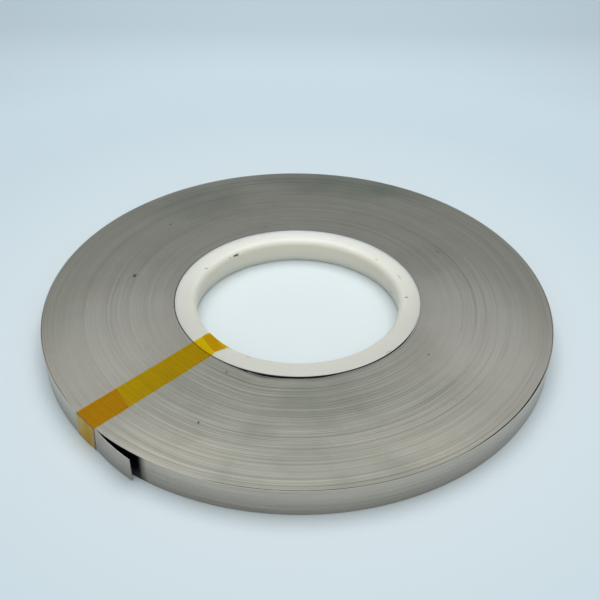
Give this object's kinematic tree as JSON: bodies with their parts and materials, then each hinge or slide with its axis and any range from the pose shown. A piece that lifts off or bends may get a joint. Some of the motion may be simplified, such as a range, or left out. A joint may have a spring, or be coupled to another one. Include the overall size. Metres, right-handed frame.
{
  "type": "nickel strip coil",
  "caption": "Flat coil of narrow nickel strip wound on a white plastic core ring, held by a band of amber tape, with the strip's short tail standing off.",
  "frame": {"origin": "on the coil's axis, at the level that it lies on", "axes": "+Z along the core's bore, up; +X and +Y in the plane of the coil, with the tape at the -X -Y corner"},
  "size_m": [0.1799, 0.1797, 0.0104],
  "materials": {
    "nickel": "satin",
    "core_plastic": "satin",
    "amber_tape": "gloss"
  },
  "bodies": {
    "root": {"nickel_strip": "nickel", "core_ring": "core_plastic", "tape_top_strip": "amber_tape", "tape_wrap": "amber_tape"}
  },
  "joints": []
}
